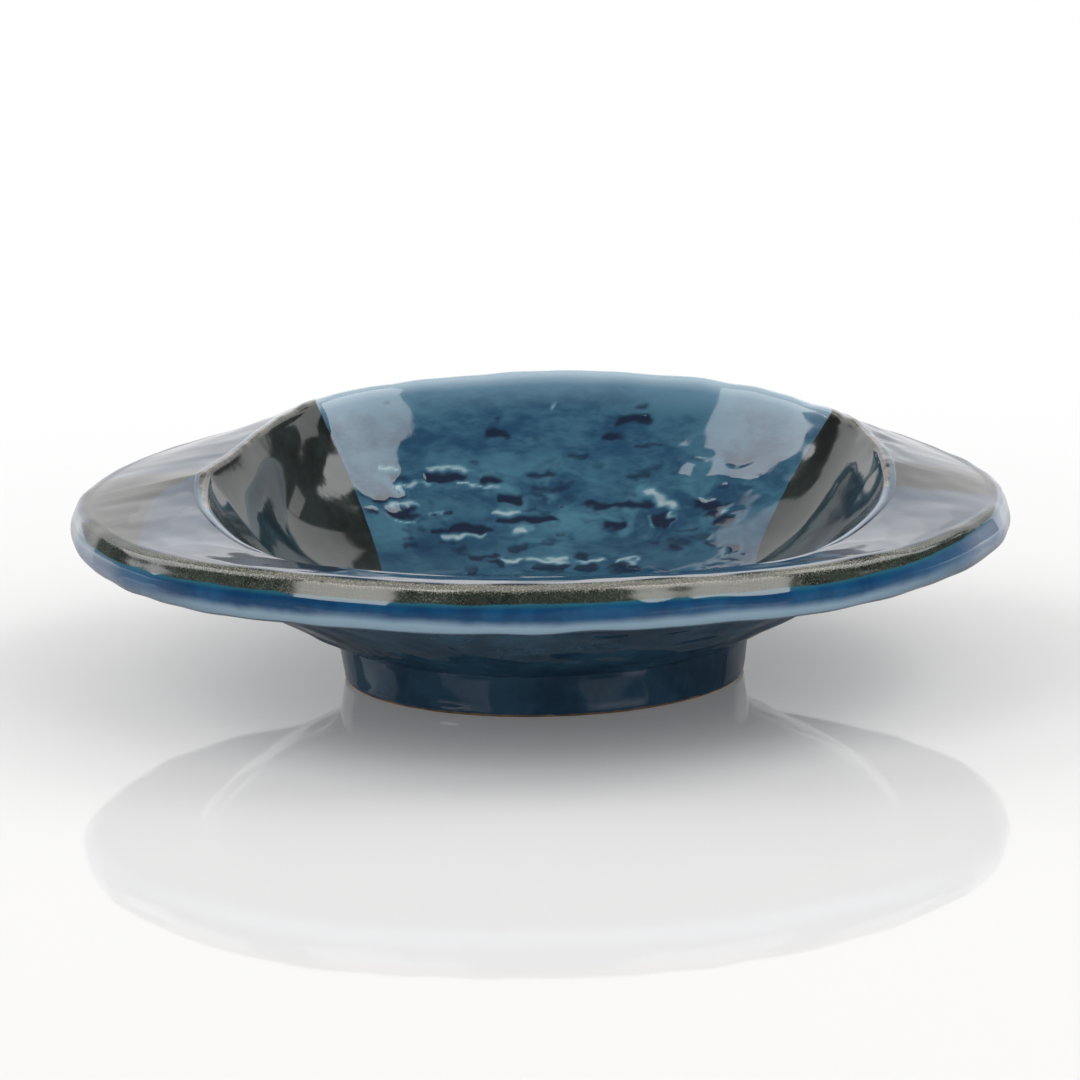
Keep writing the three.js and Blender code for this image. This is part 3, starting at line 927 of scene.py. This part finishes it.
patch_mask = border(point_value(tree, "patch"), 0.25, 0.12)
inside_lip = border(down, 1.2, 0.25)
dark = drift(tree, (40, 50, 48), (20, 23, 22), 60.0)
worn = times(step(down, 0.4, 2.6, 1.0, 0.0), broken)
worn_dark = coat(dark["Color"], WORN_CLAY, worn)
base = coat(base, worn_dark, times(patch_mask, inside_lip))
roughness = step(blue["Thickness"], 0.0, 1.0, THIN_ROUGHNESS, THICK_ROUGHNESS)
finish_glaze(tree, shader, base, roughness, 0.4, 0.6)
glazed_bowl.data.materials.append(well_glaze)
print("material:", well_glaze.name)

# %% [markdown]
# ### The shoulder and its edge
#
# The shoulder is a deep blue. Its front edge was dipped in the dark glaze, which breaks to sandy specks where it
# thins over the ridge, and melts into the blue along a teal line. Below that the blue is thick, and a pale band on
# the lower edge is a painted reflection of the bright table.

# %% Blue of the shoulder
SIDE_BLUE, END_GREY = colour(84, 112, 140), colour(150, 158, 174)
TABLE_REFLECTION_PALE, UNDER_BLUE = colour(150, 178, 196), colour(40, 66, 88)
shoulder_glaze, tree, shader = glaze("blue shoulder glaze")
over_value, front_value = point_value(tree, "over_edge"), point_value(tree, "front")
blue = drift(tree, (42, 68, 94), (22, 42, 66), 40.0)
# the dark colour over the ends of the shoulder is a painted reflection of a dark band
dark = drift(tree, (50, 46, 42), (22, 22, 22), 60.0)
base = coat(blue["Color"], dark["Color"], border(point_value(tree, "dark_reflection"), 1.6, 0.15, 90.0))

thick = drift(tree, (16, 80, 122), (6, 58, 98), 70.0)
face = coat(thick["Color"], SIDE_BLUE, step(front_value, 0.0, 0.8, 0.5, 0.0))
face = coat(face, END_GREY, step(front_value, 0.0, 0.25, 0.55, 0.0))
base = coat(base, face, step(over_value, 1.5, 4.0))
# painted reflection of the bright table in front, as a pale band on the lower edge
reflection_edge = plus(over_value, times(blue["Thickness"], -0.6))
table_reflection_share = times(step(reflection_edge, 8.0, 10.4), step(front_value, 0.0, 1.0, 0.15, 0.9))
base = coat(base, TABLE_REFLECTION_PALE, table_reflection_share)
base = coat(base, UNDER_BLUE, step(over_value, 12.0, 13.5))
print("nodes so far:", len(tree.nodes))

# %% [markdown]
# The dipped edge is laid over this. Its sandy specks are dense on the ridge, and at the very front a pale line
# along the ridge is partly thin glaze and partly a painted highlight.

# %% Dipped front edge
MELT_TEAL, SAND, THIN_SAND_AND_HIGHLIGHT = colour(44, 106, 114), colour(150, 146, 130), colour(164, 162, 152)


def off_ridge(middle):
    return calc("ABSOLUTE", minus(over_value, middle))


teal = band(over_value, (4.9, 5.4), (5.5, 6.6))
base = coat(base, MELT_TEAL, teal, 0.7)
dip_mask = border(point_value(tree, "dip"), 1.0, 0.25, 160.0)
olive = drift(tree, (46, 56, 48), (22, 32, 28), 120.0)
sand = use(tree, speckle, {"Scale": 3200.0, "Amount": 0.5})["Mask"]
on_ridge = step(off_ridge(2.0), 0.5, 1.8, 1.0, 0.12)
dip_share = step(front_value, 0.0, 0.8, 0.25, 1.0)
specks = times(times(sand, on_ridge), dip_share)
speckled = coat(olive["Color"], SAND, specks, 0.85)
# pale line along the ridge: partly thin glaze, partly painted highlight
ridge_thin_and_highlight = step(off_ridge(2.1), 0.4, 1.1, 0.75, 0.0)
ridge_thin_and_highlight = times(ridge_thin_and_highlight, step(front_value, 0.75, 1.0, 0.2, 1.0))
ridge_thin_and_highlight = times(ridge_thin_and_highlight, step(sand, 0.0, 1.0, 0.6, 1.0))
speckled = coat(speckled, THIN_SAND_AND_HIGHLIGHT, ridge_thin_and_highlight)
base = coat(base, speckled, dip_mask)
roughness = step(blue["Thickness"], 0.0, 1.0, THIN_ROUGHNESS, THICK_ROUGHNESS)
sandy = times(dip_mask, step(sand, 0.0, 1.0, 0.06, 0.20))
finish_glaze(tree, shader, base, plus(roughness, sandy), 0.4, 0.7)
glazed_shoulder.data.materials.append(shoulder_glaze)
print("material:", shoulder_glaze.name)

# %% [markdown]
# ### The foot
#
# The foot has the thickest, darkest blue. It was wiped before firing, so a thin line of bare clay shows where
# it stands, and the face below it is unglazed.

# %% Glaze of the foot
WIPED_HEIGHT, WIPED_ROUGHNESS, FOOT_ROUGHNESS = 0.55, 0.85, 0.07
foot_glaze, tree, shader = glaze("navy foot glaze")
navy = drift(tree, (48, 82, 108), (30, 60, 84), 50.0)
height_mm = times(split(place(tree))["Z"], 1000.0)
wiped = border(minus(WIPED_HEIGHT, height_mm), 0.7, 0.12)
clay = drift(tree, (150, 122, 92), (104, 80, 58), 160.0)
base = coat(navy["Color"], clay["Color"], wiped)
roughness = step(wiped, 0.0, 1.0, FOOT_ROUGHNESS, WIPED_ROUGHNESS)
finish_glaze(tree, shader, base, roughness, 0.5, 0.6)
glazed_foot.data.materials.append(foot_glaze)
print("material:", foot_glaze.name)

# %% [markdown]
# ## The studio
#
# The dish stands on a glossy pale table in front of a white backdrop, with a softbox at each side behind it
# and another at each side in front. Glossy glaze shows mostly what it reflects, so the lights are placed
# where the wall, the edge and the foot reflect them. The table fades to white far away, and it is darker to
# mirrored rays than to the camera.

# %% Table
WHITE, BLACK, TABLE_PALE = (1, 1, 1, 1), (0, 0, 0, 1), (0.82, 0.81, 0.805, 1)
TABLE_RADIUS, TABLE_ROUGHNESS, TABLE_INDEX = 4.0, 0.03, 1.22
TABLE_GLOW, MIRRORED_GLOW, MIRRORED_DIMMING = 0.065, 0.02, 0.6
FADE_MIDDLE = (0, -0.12, 0)


def rays(tree):
    """The Light Path outputs, and a value that is 1 for a ray that was mirrored."""
    ray = put(tree, "ShaderNodeLightPath").outputs
    return ray, calc("MAXIMUM", ray["Is Glossy Ray"], ray["Is Transmission Ray"])


bpy.ops.mesh.primitive_circle_add(vertices=128, radius=TABLE_RADIUS, fill_type="NGON")
table = bpy.context.object
table.name = "table"
table_finish = bpy.data.materials.new("glossy pale table")
table_finish.use_nodes = True
tree = table_finish.node_tree
shader = tree.nodes["Principled BSDF"]
shader.inputs["Roughness"].default_value = TABLE_ROUGHNESS
shader.inputs["IOR"].default_value = TABLE_INDEX
shader.inputs["Emission Color"].default_value = WHITE
ray, mirrored = rays(tree)
spot = place(tree)
away = put(tree, "ShaderNodeVectorMath", {0: spot, 1: FADE_MIDDLE}, operation="DISTANCE").outputs["Value"]
seen_far = times(ray["Is Camera Ray"], step(away, 0.20, 0.45))
mirrored_far = times(mirrored, step(split(spot)["Y"], 0.05, 0.45))
far_away = calc("MAXIMUM", seen_far, mirrored_far)
white = put(tree, "ShaderNodeEmission", {"Color": WHITE, "Strength": 1.0})
tree.links.new(coat(TABLE_PALE, BLACK, mirrored, MIRRORED_DIMMING), shader.inputs["Base Color"])
glow = step(mirrored, 0.0, 1.0, TABLE_GLOW, MIRRORED_GLOW)
tree.links.new(glow, shader.inputs["Emission Strength"])
blend = put(tree, "ShaderNodeMixShader", {0: far_away, 1: shader.outputs[0], 2: white.outputs[0]})
tree.links.new(blend.outputs[0], tree.nodes["Material Output"].inputs["Surface"])
table.data.materials.append(table_finish)
print("table:", table.name)

# %% [markdown]
# A softbox is a rectangle of light that the glaze mirrors and the camera does not see. Three nested strips low at
# the back light only the dish. Each front softbox has a warm twin just before it that shows in reflections alone,
# so that its glints are brighter than the light it casts.

# %% Softboxes
DISH_MIDDLE = Vector((0, 0, 0.03))
LAMP_DISTANCE, NEST_GAP = 1.2, 0.01
STRIP_ELEVATION, STRIP_RADIANCE = 19, 0.15
FRONT_ELEVATION, FRONT_HEIGHT, FRONT_RADIANCE = 36, 1.0, 1.62
GLINT_RADIANCE, GLINT_COLOUR = 3.8, (1.0, 0.95, 0.88)


def softbox(name, bearing, elevation, width, height, radiance, away=LAMP_DISTANCE, tilt=0.0):
    """A rectangle of light. The bearing is from the back, towards +X, in degrees."""
    turn, rise = math.radians(bearing), math.radians(elevation)
    way = Vector((math.sin(turn) * math.cos(rise), math.cos(turn) * math.cos(rise), math.sin(rise)))
    light = bpy.data.lights.new(name, "AREA")
    light.shape = "RECTANGLE"
    light.size, light.size_y = width, height
    light.energy = radiance * math.pi * width * height
    lamp = bpy.data.objects.new(name, light)
    lamp.location = DISH_MIDDLE + away * way
    facing = (-way).to_track_quat("-Z", "Y").to_matrix()
    lamp.rotation_euler = (facing @ Matrix.Rotation(math.radians(tilt), 3, "Z")).to_euler()
    lamp.visible_camera = False
    bpy.context.scene.collection.objects.link(lamp)
    return lamp


softbox("back_left", bearing=-70, elevation=31, width=0.66, height=0.80, radiance=2.9, tilt=-30)
softbox("back_right", bearing=72, elevation=42, width=0.70, height=0.70, radiance=2.8)
dish = bpy.data.collections.new("dish")
for piece in (glazed_bowl, glazed_shoulder, glazed_foot):
    dish.objects.link(piece)
for number, half_width in enumerate([5, 8, 11]):
    halves = [math.radians(half) for half in (half_width, 4.5 + half_width / 3)]
    width, height = (2 * LAMP_DISTANCE * math.tan(half) for half in halves)
    away = LAMP_DISTANCE + NEST_GAP * number
    strip = softbox(f"back_strip_{number}", 0, STRIP_ELEVATION, width, height, STRIP_RADIANCE, away)
    strip.light_linking.receiver_collection = dish
for name, bearing, width in [("left", -133, 0.60), ("right", 137, 0.72)]:
    place_and_size = (bearing, FRONT_ELEVATION, width, FRONT_HEIGHT)
    softbox(f"front_{name}", *place_and_size, FRONT_RADIANCE)
    glint = softbox(f"front_{name}_glint", *place_and_size, GLINT_RADIANCE, LAMP_DISTANCE - NEST_GAP)
    glint.data.color = GLINT_COLOUR
    glint.visible_diffuse = False

# %% [markdown]
# ## The room
#
# The camera sees white all round. A reflection sees a white backdrop behind the dish, a small bright window on
# its right, and a dim room elsewhere. The room's even light fills the shadows. Angles here are in degrees.

# %% World
MIDDLE_TOP, SIDE_TOP = math.sin(math.radians(30)), math.sin(math.radians(40))
WINDOW_SIDES, WINDOW_HEIGHTS = [(41, 42), (51, 52)], [(0.235, 0.25), (0.36, 0.38)]
ROOM_DIM, ROOM_FILL = 0.10, 0.50
world = bpy.data.worlds.new("studio")
bpy.context.scene.world = world
world.use_nodes = True
tree = world.node_tree
tree.nodes.clear()
way = split(put(tree, "ShaderNodeTexCoord").outputs["Generated"])
bearing = times(calc("ARCTAN2", way["X"], way["Y"]), math.degrees(1))
sideways = calc("ABSOLUTE", bearing)
in_width = step(sideways, 40, 42, 1.0, 0.0)
top = step(sideways, 16, 26, MIDDLE_TOP, SIDE_TOP)
in_height = step(minus(way["Z"], top), -0.03, 0.05, 1.0, 0.0)
window = times(band(bearing, *WINDOW_SIDES), band(way["Z"], *WINDOW_HEIGHTS))
backdrop = calc("MAXIMUM", times(in_width, in_height), window)
room = step(backdrop, 0.0, 1.0, ROOM_DIM, 1.0)
ray, mirrored = rays(tree)
filled = times(minus(1.0, mirrored), ROOM_FILL)
seen = plus(times(mirrored, room), filled)
strength = calc("MAXIMUM", seen, ray["Is Camera Ray"])
background = put(tree, "ShaderNodeBackground", {"Color": WHITE, "Strength": strength})
put(tree, "ShaderNodeOutputWorld", {"Surface": background.outputs[0]})
print("world:", world.name)

# %% [markdown]
# ## Camera
#
# A long lens a little above the lip, as for a product photograph. The roll of about a degree is part of the
# view that is matched.

# %% Camera
CAMERA_AT = Vector((-0.00037, -0.9063, 0.2108))
CAMERA_DOWN, CAMERA_ROLL = math.radians(11.53), math.radians(-1.14)
LENS, SENSOR_WIDTH = 159.9, 36.0
camera_data = bpy.data.cameras.new("camera")
camera_data.lens, camera_data.sensor_width = LENS, SENSOR_WIDTH
camera = bpy.data.objects.new("camera", camera_data)
bpy.context.scene.collection.objects.link(camera)
forward = Vector((0, math.cos(CAMERA_DOWN), -math.sin(CAMERA_DOWN)))
level = Vector((1, 0, 0))
upright = level.cross(forward)
right = math.cos(CAMERA_ROLL) * level + math.sin(CAMERA_ROLL) * upright
up = -math.sin(CAMERA_ROLL) * level + math.cos(CAMERA_ROLL) * upright
turn = Matrix((right, up, -forward)).transposed().to_4x4()
camera.matrix_world = Matrix.Translation(CAMERA_AT) @ turn
bpy.context.scene.camera = camera
bpy.context.scene.view_settings.view_transform = "Standard"
print("camera at", [round(c, 3) for c in camera.location])
